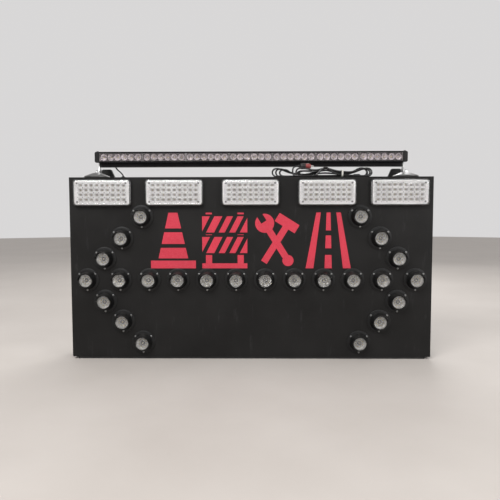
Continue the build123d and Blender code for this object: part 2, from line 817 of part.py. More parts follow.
def make_cords():
    """Supply cable with its stowed hank, tie and plug, and the bar's own short lead."""
    axis_z = top_z + gland_axis_high
    nozzle_x = gland_x - 12
    outlet_x = nozzle_x - gland_nozzle
    gland = block(nozzle_x, gland_x + 12, gland_y - 11, gland_y + 11, top_z, top_z + 16)
    gland = fillet(gland.edges().filter_by(Axis.Z), 4)
    nozzle = turned_x((0, 0), (0, 7), (-gland_nozzle, 4.4), (-gland_nozzle, 0))
    gland = gland + Pos(nozzle_x, gland_y, axis_z) * nozzle
    save("supply_gland", gland)

    left, right = hank_x
    low, high = top_z, top_z + hank_high
    valley, waist = top_z + hank_valley, top_z + hank_waist
    outline = FilletPolyline(
        (left + 12, low),
        (left, low + 12),
        (left, high - 12),
        (left + 14, high),
        (left + 58, high),
        (left + 70, valley),
        (left + 160, valley),
        (left + 192, high - 2),
        (left + 216, high - 4),
        (hank_waist_x - 12, waist),
        (hank_waist_x + 12, waist),
        (right - 66, high - 2),
        (right - 14, high),
        (right, high - 12),
        (right, low + 12),
        (right - 12, low),
        radius=4,
        close=True,
    )
    hank = plate_xz(make_face(outline), *hank_y)
    front, rear = hank_y[0] + tie_inset, hank_y[1] - tie_inset
    around = block(hank_waist_x - tie_width / 2, hank_waist_x + tie_width / 2, front, rear, low, waist)
    within = block(
        hank_waist_x - tie_width / 2,
        hank_waist_x + tie_width / 2,
        front + tie_thick,
        rear - tie_thick,
        low + tie_thick,
        waist - tie_thick,
    )
    throat = block(hank_waist_x - tie_width, hank_waist_x + tie_width, hank_y[0], hank_y[1], low, high)
    neck = block(hank_waist_x - tie_width, hank_waist_x + tie_width, front, rear, low, waist)
    tie = around - within
    save("cable_tie", tie)
    save("cable_hank", hank - (throat - neck) - tie)

    supply_route = [
        (outlet_x, gland_y, axis_z),
        (outlet_x - 30, gland_y, axis_z),
        (outlet_x - 68, gland_y - 8, top_z + 4.0),
        (outlet_x - 110, gland_y - 27, top_z + 4.2),
        (outlet_x - 142, gland_y - 45, top_z + 4.6),
    ]
    plug_z = top_z + plug_high
    tail_route = [
        (plug_tail_x, plug_y, plug_z),
        (plug_tail_x - 10.5, plug_y, plug_z),
        (plug_tail_x - 18, plug_y - 1.4, plug_z - 8.4),
        (plug_tail_x - 18.6, plug_y - 2.6, plug_z - 18.5),
    ]
    supply = cord("supply cable", supply_route, cable_diameter)
    tail = cord("plug tail", tail_route, cable_diameter)
    save("supply_cable", supply, tail)

    axis = Pos(0, plug_y, plug_z)
    body = turned_x(
        (plug_tail_x, 0),
        (plug_tail_x, 4.2),
        (plug_body_x, 5.6),
        (plug_body_x + 3, plug_radius - 1),
        (plug_body_x + 8, plug_radius),
        (plug_ring_x - 2, plug_radius),
        (plug_ring_x, plug_radius - 1),
        (plug_ring_x, 0),
    )
    save("plug_body", axis * body)
    bore = tip_radius + 0.3
    flare = plug_nose_x - tip_travel - 3
    ring = turned_x(
        (plug_ring_x, 0),
        (plug_ring_x, ring_radius),
        (plug_nose_x - 6, ring_radius),
        (plug_nose_x, ring_radius - 2.5),
        (plug_nose_x, bore),
        (flare - tip_travel - 2, bore),
        (flare - tip_travel - 2, 0),
    )
    slots = [
        block(plug_ring_x + 3, plug_nose_x - 7, -3, 3, d * (ring_radius - 1.5), d * (ring_radius + 2))
        for d in (-1, 1)
    ]
    save("plug_ring", axis * (ring - slots))
    springs = [
        block(plug_ring_x + 3, plug_nose_x - 7, -2.6, 2.6, d * (ring_radius - 1.5), d * (ring_radius + 0.6))
        for d in (-1, 1)
    ]
    save("plug_contacts", *[axis * s for s in springs])
    tip = turned_x(
        (flare, 0),
        (flare, tip_radius),
        (plug_nose_x + tip_out - 2.5, tip_radius),
        (plug_nose_x + tip_out, 1.2),
        (plug_nose_x + tip_out, 0),
    )
    save("plug_tip", axis * tip)

    rail_low = bar_pivot_z - rail_drop
    gland_top = top_z + 8
    boss = Pos(lead_gland_x, pivot_y, 0) * turned_z(
        (0, top_z), (9, top_z), (9, top_z + 3), (4.5, gland_top), (0, gland_top)
    )
    save("bar_lead_gland", boss)
    lead_route = [
        (lead_exit_x, pivot_y, rail_low + slot_deep),
        (lead_exit_x + 0.6, pivot_y, rail_low - 3),
        (lead_gland_x - 2, pivot_y, gland_top + 8),
        (lead_gland_x, pivot_y, gland_top),
    ]
    save("bar_lead", cord("bar lead", lead_route, lead_diameter))


os.makedirs("parts", exist_ok=True)
make_front_panel()
make_cabinet()
make_rails()
make_electrics()
make_symbols()
make_lamps()
make_strobes()
make_light_bar()
make_bar_stands()
make_cords()
print(f"{len(made)} nodes")
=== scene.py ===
import math
import random

import bmesh
import bpy
from mathutils import Matrix, Vector


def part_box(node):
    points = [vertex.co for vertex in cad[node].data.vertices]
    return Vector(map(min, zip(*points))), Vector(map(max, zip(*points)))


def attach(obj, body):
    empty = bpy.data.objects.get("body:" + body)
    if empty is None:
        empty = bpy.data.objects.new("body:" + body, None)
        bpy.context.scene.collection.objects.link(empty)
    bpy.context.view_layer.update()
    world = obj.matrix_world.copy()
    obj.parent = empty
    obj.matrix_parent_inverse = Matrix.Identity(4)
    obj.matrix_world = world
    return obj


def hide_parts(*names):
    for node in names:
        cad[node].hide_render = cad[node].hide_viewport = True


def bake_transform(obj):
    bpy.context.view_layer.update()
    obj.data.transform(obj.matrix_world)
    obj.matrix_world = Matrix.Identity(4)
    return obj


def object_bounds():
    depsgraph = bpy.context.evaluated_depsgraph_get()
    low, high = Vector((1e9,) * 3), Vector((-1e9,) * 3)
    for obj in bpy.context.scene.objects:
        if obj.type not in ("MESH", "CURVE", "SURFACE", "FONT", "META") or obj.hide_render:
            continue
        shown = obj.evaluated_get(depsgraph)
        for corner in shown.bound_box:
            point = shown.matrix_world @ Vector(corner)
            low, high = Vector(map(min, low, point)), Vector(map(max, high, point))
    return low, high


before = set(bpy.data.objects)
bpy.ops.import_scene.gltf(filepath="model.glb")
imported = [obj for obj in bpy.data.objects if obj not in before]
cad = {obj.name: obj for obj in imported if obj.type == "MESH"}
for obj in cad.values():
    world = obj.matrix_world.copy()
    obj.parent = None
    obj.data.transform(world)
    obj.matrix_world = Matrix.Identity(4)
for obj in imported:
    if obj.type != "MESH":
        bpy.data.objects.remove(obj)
cad_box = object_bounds()
chance = random.Random(11)      # the wander of the hank's strands

ON_AXIS = 1e-7                  # radius of a ring that stands for a point on its axis
MERGE = 2e-6                    # points nearer than this become one
PLACES_PER_METRE = 50000        # how finely CAD points are told apart
FRONT, UP, REAR = (0, -1, 0), (0, 0, 1), (0, 1, 0)


# ---------------------------------------------------------------- shapes

class Shape:
    """Points and faces of one piece, gathered until build() makes the mesh."""

    def __init__(self):
        self.points, self.faces, self.kinds = [], [], []

    def add(self, points, faces, kind=0):
        base = len(self.points)
        self.points += [tuple(p) for p in points]
        self.faces += [[base + i for i in f] for f in faces]
        self.kinds += [kind] * len(faces)

    def loft(self, loops, kind=0, start=True, end=True):
        """Skin over closed loops of equal length; start and end close its ends."""
        n = len(loops[0])
        faces = [
            (a * n + i, a * n + (i + 1) % n, (a + 1) * n + (i + 1) % n, (a + 1) * n + i)
            for a in range(len(loops) - 1)
            for i in range(n)
        ]
        if start:
            faces.append(tuple(range(n))[::-1])
        if end:
            faces.append(tuple((len(loops) - 1) * n + i for i in range(n)))
        self.add([p for loop in loops for p in loop], faces, kind)

    def lathe(self, centre, out, profile, turns=40, kind=0):
        """Turns (radius, distance) pairs about the axis out through centre."""
        u, v, w = axes(out)
        c = Vector(centre)
        spokes = [u * math.cos(a) + v * math.sin(a) for a in circle(turns)]
        loops = []
        for radius, far in profile:
            reach = max(radius, ON_AXIS)
            loops.append([c + w * far + spoke * reach for spoke in spokes])
        self.loft(loops, kind, start=False, end=False)

    def build(self, name, finishes, body, replaced=(), crease=35, slot=None):
        mesh = bpy.data.meshes.new(name)
        mesh.from_pydata(self.points, [], self.faces)
        for finish in finishes:
            mesh.materials.append(finish)
        mesh.polygons.foreach_set("material_index", self.kinds)
        bm = bmesh.new()
        bm.from_mesh(mesh)
        bmesh.ops.remove_doubles(bm, verts=bm.verts, dist=MERGE)
        bmesh.ops.recalc_face_normals(bm, faces=bm.faces)
        bm.to_mesh(mesh)
        bm.free()
        mesh.shade_smooth()
        mesh.set_sharp_from_angle(angle=math.radians(crease))
        piece = bpy.data.objects.new(name, mesh)
        bpy.context.collection.objects.link(piece)
        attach(piece, body)
        if replaced:
            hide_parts(*replaced)
        return piece


def circle(turns):
    return [2 * math.pi * i / turns for i in range(turns)]


def axes(out):
    w = Vector(out).normalized()
    u = w.orthogonal().normalized()
    return u, w.cross(u), w


def rounded(width, height, corner, per_corner=6):
    """Points round a rectangle with round corners, about its centre, counter-clockwise."""
    points = []
    for quarter in range(4):
        sx = 1 if quarter in (0, 3) else -1
        sz = 1 if quarter in (0, 1) else -1
        for i in range(per_corner + 1):
            a = math.pi / 2 * (quarter + i / per_corner)
            x = sx * (width / 2 - corner) + corner * math.cos(a)
            z = sz * (height / 2 - corner) + corner * math.sin(a)
            points.append((x, z))
    return points


def fronted(points, centre, y):
    """Flat (x, z) points placed about centre in the plane at y."""
    return [(centre[0] + x, y, centre[1] + z) for x, z in points]


def square_ring(width, height, count):
    """count points round a rectangle, each in the direction of the same point of a circle."""
    points = []
    for a in circle(count):
        c, s = math.cos(a), math.sin(a)
        reach = min(width / 2 / max(abs(c), 1e-9), height / 2 / max(abs(s), 1e-9))
        points.append((c * reach, s * reach))
    return points


def round_ring(radius, count):
    return [(radius * math.cos(a), radius * math.sin(a)) for a in circle(count)]


def islands(node):
    """The separate solids of a CAD node: the (low, high) corners of each, from left to right."""
    mesh = cad[node].data
    keys = {}
    key_of = [
        keys.setdefault(tuple(round(c * PLACES_PER_METRE) for c in v.co), len(keys))
        for v in mesh.vertices
    ]
    parent = list(range(len(keys)))

    def root(i):
        while parent[i] != i:
            parent[i] = parent[parent[i]]
            i = parent[i]
        return i

    for face in mesh.polygons:
        first = root(key_of[face.vertices[0]])
        for v in face.vertices[1:]:
            parent[root(key_of[v])] = first
    boxes = {}
    for v in mesh.vertices:
        low, high = boxes.setdefault(root(key_of[v.index]), (Vector(v.co), Vector(v.co)))
        for i in range(3):
            low[i] = min(low[i], v.co[i])
            high[i] = max(high[i], v.co[i])
    return sorted(boxes.values(), key=lambda b: [round(c, 4) for c in (b[0].x, b[0].z, b[0].y)])


def middle(box):
    return (box[0] + box[1]) / 2


# ---------------------------------------------------------------- materials

class Look:
    """One material, as nodes feeding a single principled shader."""

    def __init__(self, name, **shader):
        self.material = bpy.data.materials.new(name)
        self.material.use_nodes = True
        self.tree = self.material.node_tree
        self.shader = self.tree.nodes["Principled BSDF"]
        self.place = self.node("ShaderNodeTexCoord").outputs["Object"]
        self.put(**shader)

    def feed(self, socket, value):
        if isinstance(value, bpy.types.NodeSocket):
            self.tree.links.new(value, socket)
        else:
            socket.default_value = value

    def put(self, **values):
        for key, value in values.items():
            self.feed(self.shader.inputs[key.replace("_", " ")], value)

    def node(self, kind, values=None, **settings):
        made = self.tree.nodes.new(kind)
        for key, value in settings.items():
            setattr(made, key, value)
        for key, value in (values or {}).items():
            self.feed(made.inputs[key], value)
        return made

    def stretched(self, x, y, z):
        values = {"Vector": self.place, "Scale": (x, y, z)}
        return self.node("ShaderNodeMapping", values).outputs["Vector"]

    def noise(self, scale, detail=3.0, rough=0.5, where=None):
        values = {"Vector": where or self.place, "Scale": scale, "Detail": detail, "Roughness": rough}
        return self.node("ShaderNodeTexNoise", values).outputs["Fac"]

    def cells(self, scale, feature="F1", where=None):
        values = {"Vector": where or self.place, "Scale": scale}
        return self.node("ShaderNodeTexVoronoi", values, feature=feature).outputs["Distance"]

    def fit(self, value, low, high, a=0.0, b=1.0):
        values = {"Value": value, "From Min": low, "From Max": high, "To Min": a, "To Max": b}
        return self.node("ShaderNodeMapRange", values).outputs["Result"]

    def calc(self, operation, a, b):
        made = self.node("ShaderNodeMath", operation=operation)
        self.feed(made.inputs[0], a)
        self.feed(made.inputs[1], b)
        return made.outputs["Value"]

    def mix(self, factor, a, b):
        values = {"Fac": factor, "Color1": (*a, 1) if isinstance(a, tuple) else a}
        values["Color2"] = (*b, 1) if isinstance(b, tuple) else b
        return self.node("ShaderNodeMixRGB", values).outputs["Color"]

    def up(self):
        """The normal's Z: 1 where the surface faces up, 0 where it is upright."""
        normal = self.node("ShaderNodeNewGeometry").outputs["Normal"]
        return self.node("ShaderNodeSeparateXYZ", {"Vector": normal}).outputs["Z"]

    def soft_edge(self, radius):
        return self.node("ShaderNodeBevel", {"Radius": radius}, samples=4).outputs["Normal"]

    def bump(self, height, depth, strength=1.0, normal=None):
        values = {"Height": height, "Distance": depth, "Strength": strength}
        if normal is not None:
            values["Normal"] = normal
        return self.node("ShaderNodeBump", values).outputs["Normal"]


def powder_coat(name, dark, light, edge=0.0006):
    """Satin powder coat: orange-peel skin, faint scuffs, dust on what faces up."""
    k = Look(name, Specular_IOR_Level=0.18)
    peel = k.noise(950, 2, 0.4)
    cloud = k.noise(7, 4, 0.55)
    scuff = k.fit(k.noise(60, 5, 0.7, k.stretched(1, 1, 0.15)), 0.6, 0.78)
    dust = k.calc("MULTIPLY", k.fit(k.up(), 0.75, 1.0), k.fit(k.noise(26, 5, 0.62), 0.35, 0.7))
    paint = k.mix(k.fit(cloud, 0.35, 0.68), dark, light)
    paint = k.mix(k.calc("MULTIPLY", scuff, 0.12), paint, (0.12, 0.12, 0.12))
    k.put(Base_Color=k.mix(k.calc("MULTIPLY", dust, 0.16), paint, (0.24, 0.22, 0.2)))
    k.put(Roughness=k.calc("ADD", k.fit(cloud, 0.3, 0.7, 0.4, 0.5), k.calc("MULTIPLY", scuff, 0.12)))
    k.put(Normal=k.bump(peel, 0.00009, 0.8, k.soft_edge(edge)))
    return k.material


def moulded(name, dark, light, rough=0.42, grain=1400, edge=0.0004, depth=0.00005, spec=0.45):
    """Moulded plastic or rubber with a fine grain."""
    k = Look(name, Specular_IOR_Level=spec)
    cloud = k.noise(35, 3, 0.5)
    fine = k.noise(grain, 2, 0.5)
    dust = k.calc("MULTIPLY", k.fit(k.up(), 0.6, 1.0), k.fit(k.noise(90, 4, 0.6), 0.4, 0.75))
    colour = k.mix(k.fit(cloud, 0.35, 0.65), dark, light)
    k.put(Base_Color=k.mix(k.calc("MULTIPLY", dust, 0.12), colour, (0.3, 0.28, 0.26)))
    k.put(Roughness=k.fit(k.noise(140, 4, 0.6), 0.3, 0.7, rough - 0.06, rough + 0.07))
    k.put(Normal=k.bump(fine, depth, 0.8, k.soft_edge(edge)))
    return k.material


def metal(name, dark, light, rough=0.3, stretch=(1, 1, 1), scale=400, spots=0.0, edge=0.0003):
    """Bare or plated metal: grain along its brushing, soft tarnish, and for zinc its spangle."""
    k = Look(name, Metallic=1.0)
    grain = k.noise(scale, 4, 0.6, k.stretched(*stretch))
    cloud = k.noise(28, 4, 0.6)
    colour = k.mix(k.fit(cloud, 0.3, 0.7), dark, light)
    if spots:
        spangle = k.cells(spots)
        colour = k.mix(k.fit(spangle, 0.1, 0.8, 0, 0.35), colour, (0.78, 0.8, 0.82))
    k.put(Base_Color=colour)
    brushed = k.fit(grain, 0.3, 0.7, rough - 0.07, rough + 0.08)
    k.put(Roughness=k.calc("ADD", brushed, k.fit(cloud, 0.3, 0.7, -0.04, 0.05)))
    k.put(Normal=k.bump(grain, 0.00002, 0.6, k.soft_edge(edge)))
    return k.material


def clear(name, tint, rough=0.06, haze=0.0, ior=1.45):
    """Clear polycarbonate with moulding marks, faint haze and dust."""
    k = Look(name, IOR=ior, Transmission_Weight=1.0 - haze, Specular_IOR_Level=0.5)
    cloud = k.noise(45, 4, 0.6)
    k.put(Base_Color=k.mix(k.fit(cloud, 0.3, 0.7), tint, tuple(0.96 * c for c in tint)))
    k.put(Roughness=k.fit(k.noise(220, 5, 0.65), 0.35, 0.75, rough, rough + 0.12))
    k.put(Normal=k.bump(k.noise(160, 2, 0.4), 0.00006, 0.5))
    return k.material


def chrome(name, dark, light, rough=0.18, metallic=0.75, depth=None):
    """Vacuum-metallised reflector: softly uneven, with a little orange peel.

    depth gives a cup's mouth and floor in Y, and the colour darkens from the one to the other: painted
    shade in the cup's hollow."""
    k = Look(name, Metallic=metallic)
    cloud = k.noise(120, 3, 0.5)
    colour = k.mix(k.fit(cloud, 0.3, 0.7), dark, light)
    if depth:
        mouth, floor = depth
        far = k.node("ShaderNodeSeparateXYZ", {"Vector": k.place}).outputs["Y"]
        # painted shade: the colour darkens from the cup's mouth towards its floor, as if shaded inside
        colour = k.mix(k.fit(far, mouth, floor, 0, 0.8), colour, tuple(0.3 * c for c in dark))
    k.put(Base_Color=colour)
    k.put(Roughness=k.fit(k.noise(300, 3, 0.6), 0.3, 0.7, rough - 0.05, rough + 0.08))
    k.put(Normal=k.bump(k.noise(500, 2, 0.5), 0.00004, 0.6))
    return k.material


def reflective(name, dark, light):
    """Prismatic retroreflective sheet: a fine honeycomb under a glossy skin, with slight fading."""
    k = Look(name, Coat_Weight=0.25, Coat_Roughness=0.15, Specular_IOR_Level=0.35)
    comb = k.cells(330, "DISTANCE_TO_EDGE")
    seam = k.fit(comb, 0.02, 0.09)
    prism = k.noise(700, 2, 0.5)
    cloud = k.noise(14, 4, 0.6)
    colour = k.mix(k.fit(cloud, 0.3, 0.7), dark, light)
    colour = k.mix(k.calc("MULTIPLY", k.calc("SUBTRACT", 1.0, seam), 0.3), colour, (0.72, 0.15, 0.2))
    k.put(Base_Color=k.mix(k.fit(prism, 0.55, 0.8, 0, 0.12), colour, (0.8, 0.15, 0.22)))
    k.put(Roughness=k.fit(prism, 0.3, 0.7, 0.28, 0.45))
    k.put(Normal=k.bump(seam, 0.00004, 0.6))
    return k.material


def board_look(name, mask, trace, pad):
    """Circuit board: solder mask with tracks showing through and tinned pads."""
    k = Look(name, Coat_Weight=0.3, Coat_Roughness=0.2)
    tracks = k.fit(k.cells(260, "DISTANCE_TO_EDGE"), 0.06, 0.1)
    pads = k.fit(k.cells(420), 0.16, 0.2)
    colour = k.mix(tracks, trace, mask)
    k.put(Base_Color=k.mix(k.calc("SUBTRACT", 1.0, pads), colour, pad))
    k.put(Roughness=k.fit(k.noise(300, 3), 0.3, 0.7, 0.32, 0.5))
    k.put(Normal=k.bump(tracks, 0.00003, 0.5, k.soft_edge(0.0002)))
    return k.material


def floor_look(name):
    k = Look(name)
    speck = k.noise(420, 3, 0.7)
    cloud = k.noise(1.4, 5, 0.6)
    colour = k.mix(k.fit(cloud, 0.3, 0.7), (0.42, 0.385, 0.355), (0.48, 0.445, 0.415))
    k.put(Base_Color=k.mix(k.fit(speck, 0.45, 0.75, 0, 0.25), colour, (0.36, 0.33, 0.3)))
    k.put(Roughness=k.fit(cloud, 0.3, 0.7, 0.6, 0.75))
    k.put(Normal=k.bump(speck, 0.0003, 0.3))
    return k.material


panel_paint = powder_coat("panel_paint", (0.0065, 0.0062, 0.006), (0.0095, 0.009, 0.0088))
wall_paint = powder_coat("wall_paint", (0.0065, 0.0065, 0.0068), (0.01, 0.01, 0.0104), edge=0.001)

zinc = metal(
    "zinc", (0.54, 0.54, 0.53), (0.64, 0.64, 0.63), rough=0.34,
    stretch=(1, 1, 0.3), scale=220, spots=160)
stainless = metal(
    "stainless", (0.55, 0.55, 0.55), (0.72, 0.72, 0.71), rough=0.26,
    stretch=(1, 1, 0.2), scale=500)
bright_screw = metal("bright_screw", (0.2, 0.2, 0.2), (0.3, 0.3, 0.295), rough=0.3, scale=700)
dark_screw = metal("dark_screw", (0.05, 0.05, 0.052), (0.09, 0.09, 0.092), rough=0.38, scale=700)
magnet_steel = metal(
    "magnet_steel", (0.13, 0.13, 0.13), (0.24, 0.235, 0.23), rough=0.4,
    stretch=(0.2, 1, 1), scale=300)
anodised = metal(
    "anodised", (0.01, 0.0095, 0.01), (0.017, 0.016, 0.017), rough=0.34,
    stretch=(0.03, 1, 1), scale=900)
plated = metal("plated", (0.62, 0.6, 0.56), (0.82, 0.8, 0.76), rough=0.2, scale=600)

cap_paint = moulded(
    "cap_paint", (0.004, 0.004, 0.004), (0.007, 0.007, 0.007), grain=900, spec=0.24)
lamp_plastic = moulded(
    "lamp_plastic", (0.0035, 0.0035, 0.0035), (0.0065, 0.0065, 0.0065), 0.46, grain=1500, spec=0.26)
rubber = moulded(
    "rubber", (0.011, 0.011, 0.011), (0.018, 0.0175, 0.017), 0.62,
    grain=800, edge=0.0008, depth=0.00008, spec=0.3)
cable_skin = moulded(
    "cable_skin", (0.006, 0.006, 0.006), (0.01, 0.01, 0.0105), 0.2,
    grain=500, edge=0.0002, depth=0.00002, spec=0.6)
tie_plastic = moulded("tie_plastic", (0.42, 0.41, 0.38), (0.52, 0.5, 0.46), 0.4, grain=900, edge=0.0002)
plug_plastic = moulded("plug_plastic", (0.007, 0.007, 0.007), (0.012, 0.012, 0.012), 0.3, grain=1200)
plug_red = moulded("plug_red", (0.14, 0.018, 0.018), (0.2, 0.03, 0.028), 0.38, grain=1200)
case_plastic = moulded("case_plastic", (0.02, 0.021, 0.022), (0.03, 0.031, 0.032), 0.45, grain=900)
strobe_white = moulded(
    "strobe_white", (0.88, 0.87, 0.87), (0.95, 0.94, 0.94), 0.3, grain=900, edge=0.0003)
bar_dark = moulded("bar_dark", (0.07, 0.062, 0.066), (0.1, 0.09, 0.095), 0.4, grain=900)
divider_plastic = moulded("divider_plastic", (0.3, 0.285, 0.285), (0.4, 0.38, 0.38), 0.4, grain=900)
led_chip = moulded("led_chip", (0.4, 0.33, 0.16), (0.55, 0.47, 0.24), 0.3, grain=2000, edge=0.0001)

lamp_glass = clear("lamp_glass", (0.96, 0.96, 0.95), 0.04, haze=0.06)
strobe_glass = clear("strobe_glass", (0.95, 0.95, 0.95), 0.05, haze=0.05)
bar_glass = clear("bar_glass", (0.85, 0.82, 0.83), 0.05, haze=0.02, ior=1.35)
led_dome = clear("led_dome", (0.98, 0.95, 0.86), 0.03, haze=0.15, ior=1.5)

# Each cup's depth pair darkens its colour towards the cup's floor: painted shade in the hollow.
strobe_cup = chrome(
    "strobe_cup", (0.8, 0.78, 0.78), (0.9, 0.88, 0.88), 0.3, metallic=0.35, depth=(-0.0672, -0.0605))
lamp_cup = chrome(
    "lamp_cup", (0.76, 0.75, 0.74), (0.9, 0.89, 0.88), 0.22, metallic=0.4, depth=(-0.0685, -0.0655))
bar_cup = chrome(
    "bar_cup", (0.8, 0.76, 0.78), (0.94, 0.9, 0.92), 0.24, metallic=0.4, depth=(-0.0115, -0.0055))

green_board = board_look("green_board", (0.01, 0.08, 0.03), (0.02, 0.14, 0.05), (0.6, 0.58, 0.52))
red_sheet = reflective("red_sheet", (0.39, 0.013, 0.031), (0.46, 0.018, 0.04))


# ---------------------------------------------------------------- camera, floor, light

CAMERA_PLACE = (0.023, -1.937, 0.519)
CAMERA_TURN, CAMERA_DIP, CAMERA_ROLL = 0.77, 3.71, -0.1     # degrees: to the left, down, sideways
FLOOR_RINGS = (0.4, 1.5, 4.0, 12.0)                         # radii in metres


def spin(degrees, axis):
    return Matrix.Rotation(math.radians(degrees), 4, axis)


camera_data = bpy.data.cameras.new("camera")
camera_data.lens = 37.8
camera_data.sensor_width = 36.0
camera = bpy.data.objects.new("camera", camera_data)
aim = spin(CAMERA_TURN, "Z") @ spin(90 - CAMERA_DIP, "X") @ spin(CAMERA_ROLL, "Z")
camera.matrix_world = Matrix.Translation(CAMERA_PLACE) @ aim
bpy.context.collection.objects.link(camera)
bpy.context.scene.camera = camera

ground = Shape()
ground.loft(
    [[(r * math.cos(a), r * math.sin(a), 0.0) for a in circle(96)] for r in FLOOR_RINGS], end=False)
ground_mesh = bpy.data.meshes.new("ground")
ground_mesh.from_pydata(ground.points, [], ground.faces)
ground_mesh.materials.append(floor_look("floor"))
ground_piece = bpy.data.objects.new("ground", ground_mesh)
bpy.context.collection.objects.link(ground_piece)

world = bpy.data.worlds.new("world")
world.use_nodes = True
sky = world.node_tree.nodes["Background"]
sky.inputs["Color"].default_value = (0.75, 0.74, 0.74, 1)
sky.inputs["Strength"].default_value = 0.92
bpy.context.scene.world = world
bpy.context.scene.view_settings.view_transform = "Standard"


def softbox(name, place, target, width, height, power):
    """A rectangular area light at place, in metres and watts, that faces target."""
    data = bpy.data.lights.new(name, "AREA")
    data.shape = "RECTANGLE"
    data.size, data.size_y = width, height
    data.energy = power
    lamp = bpy.data.objects.new(name, data)
    lamp.location = place
    lamp.rotation_euler = (Vector(target) - Vector(place)).to_track_quat("-Z", "Y").to_euler()
    bpy.context.collection.objects.link(lamp)


heart = middle(cad_box)
softbox("key", (-1.2, -2.6, 2.9), heart, 2.2, 1.4, 130)
softbox("fill", (2.6, -2.4, 1.6), heart, 1.8, 1.8, 50)
softbox("back", (0.6, 2.8, 2.4), heart, 2.0, 1.4, 60)


# ---------------------------------------------------------------- cords

def spline_of(name, points, diameter):
    """A curve of one smooth spline with these points, in millimetres, as its control points."""
    data = bpy.data.curves.new(name, "CURVE")
    data.dimensions = "3D"
    data.bevel_depth = diameter / 2
    data.bevel_resolution = 5
    data.resolution_u = 8
    data.use_fill_caps = True
    line = data.splines.new("NURBS")
    line.points.add(len(points) - 1)
    for point, place in zip(line.points, points):
        point.co = (*[c / 1000 for c in place], 1)
    line.order_u = 3
    line.use_endpoint_u = True
    piece = bpy.data.objects.new(name, data)
    bpy.context.collection.objects.link(piece)
    return piece


# Routes in millimetres. BED is the height of a strand's middle where it lies on the roof, and each
# turn of the hank has its own lane in Y.
BED = 661.4
CABLE_THICK, LEAD_THICK = 0.006, 0.005
FIRST_LANE, LANE_PITCH = -4.4, 6.3
FOLD_RUN, FOLD_SHOULDER, FOLD_LEAN = 27, 9, 0.28    # a left fold's reach, its shoulder and its lean
SHORT_TURN = 150                                    # a turn that starts right of this is short

supply_route = [(361, 46, 666), (331, 46, 666), (293, 38, 662), (251, 19, 662.2), (219, 1, 662.6)]
tail_route = [(170, -28, 697.5), (159.5, -28, 697.5), (152, -29.4, 689.1), (151.4, -30.6, 679)]

# Each turn of the hank: left end x, its lower and upper y, its upper z, the height of the strand
# where it humps, and the right end x. The turns lie from back to front.
hank_turns = [
    (79, -20, -2.5, 691, 676, 434),
    (91.5, -26.5, -8, 689, 686, 423),
    (105, -33, -13, 686, 674, 431),
    (170, -28.5, -9, 682, 692, 418),
    (176, -34.5, -15.5, 681.5, 684, 435),
    (163, -39.8, -47.8, 689, 692, 427),
]


def left_fold(left, low_y, high_y, high_z):
    """Up round the left end, from the strand on the roof to the upper one."""
    lean, lift = (high_y - low_y) * FOLD_LEAN, (high_z - BED) * FOLD_LEAN
    return [
        (left + FOLD_RUN, low_y, BED),
        (left + FOLD_SHOULDER, low_y + 0.5, BED + 0.2),
        (left, low_y + lean, BED + lift),
        (left, high_y - lean, high_z - lift),
        (left + FOLD_SHOULDER, high_y - 0.5, high_z - 0.2),
        (left + FOLD_RUN, high_y, high_z),
    ]


def right_fold(right, y, drop):
    """Down round the right end, into the next lane."""
    return [
        (right - 26, y + 3.5, 691 - drop),
        (right - 9, y + 3, 690.8 - drop),
        (right, y, 682.5 - drop),
        (right, y - 5, 669.5),
        (right - 9, y - 8.5, 661.5),
        (right - 26, y - 8, 661.3),
    ]


hank_points = []
for number, (left, low_y, high_y, high_z, hump, right) in enumerate(hank_turns):
    y = FIRST_LANE - LANE_PITCH * number
    wander = [chance.uniform(-0.9, 0.9) for _ in range(8)]
    long_turn = left < SHORT_TURN
    if number:
        hank_points += [(372, y, 662.5), (328, y, 663.4), (284, y + wander[0], 662.6)]
    if long_turn:
        hank_points += [(226 if number else 185, y + wander[1], 662)]
        hank_points += [(150, (y + low_y) / 2, 661.8)]
    else:
        hank_points += [(232, y + wander[1], 662.4)]
    hank_points += left_fold(left, low_y, high_y, high_z)
    if long_turn:
        hank_points += [(145, (y + high_y) / 2, 674), (192, y + wander[2], 668 + wander[3])]
    hank_points += [
        (236, y + wander[4], (hump + 671) / 2 - 1),
        (268 + 4 * wander[5], y + wander[5], hump),
        (299, y + wander[6], (hump + 673) / 2 - 1),
        (328, y, 676.5 if number % 2 else 670),
        (366, y + wander[7], 675 if number % 2 else 672),
    ]
    hank_points += right_fold(right, y, number % 3)
y = FIRST_LANE - LANE_PITCH * len(hank_turns)
hank_points += [
    (372, y, 662.6), (328, y, 664), (300, y - 0.6, 670), (275, y - 2, 691), (262, y - 3, 691.4),
    (247, y - 2.6, 679), (235, y - 2.6, 662.6), (205, -45.5, 661.3), (172, -46, 661.5),
    (157, -43.5, 663), (150.5, -36.5, 670.5),
]
cable = spline_of("supply_cord", supply_route + hank_points + tail_route[::-1], CABLE_THICK)
cable.data.materials.append(cable_skin)
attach(cable, "cabinet")
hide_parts("supply_cable", "cable_hank")


def line_of(curve):
    """Points along a curve's own smooth line."""
    data = curve.data.copy()
    data.bevel_depth = 0
    bare = bpy.data.objects.new("bare", data)
    mesh = bpy.data.meshes.new_from_object(bare)
    points = [v.co.copy() for v in mesh.vertices]
    bpy.data.objects.remove(bare)
    return points


